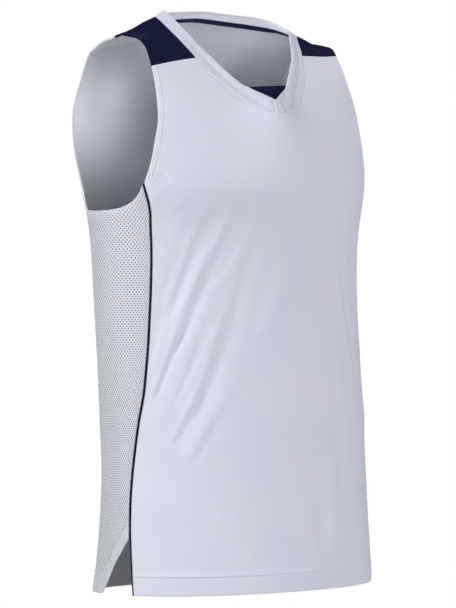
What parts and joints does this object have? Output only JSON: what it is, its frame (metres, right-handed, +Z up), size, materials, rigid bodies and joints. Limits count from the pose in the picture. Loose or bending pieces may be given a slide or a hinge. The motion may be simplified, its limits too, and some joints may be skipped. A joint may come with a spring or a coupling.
{
  "type": "basketball jersey",
  "caption": "Sleeveless basketball jersey in its worn, hollow shape, with a V neck band, shoulder yokes, mesh side panels, piped side seams and side slits.",
  "frame": {"origin": "between the two side neck points, at the height where the shoulders carry the cloth", "axes": "+Z up, the front faces -Y, +X towards the wearer's left"},
  "size_m": [0.4107, 0.2835, 0.7583],
  "materials": {
    "white_knit": "smooth white polyester knit with a faint lilac cast and a soft sheen",
    "white_mesh": "white knit with small round holes in staggered rows",
    "white_rib": "white fine ribbed knit",
    "navy_knit": "dark navy polyester knit"
  },
  "bodies": {
    "root": {"front_panel": "white_knit", "back_panel": "white_knit", "side_panel_right": "white_mesh", "side_panel_left": "white_mesh", "yoke_right": "navy_knit", "yoke_left": "navy_knit", "collar_band": "white_rib", "neck_insert": "navy_knit", "neck_tape": "navy_knit", "piping_right": "navy_knit", "piping_left": "navy_knit"}
  },
  "joints": []
}
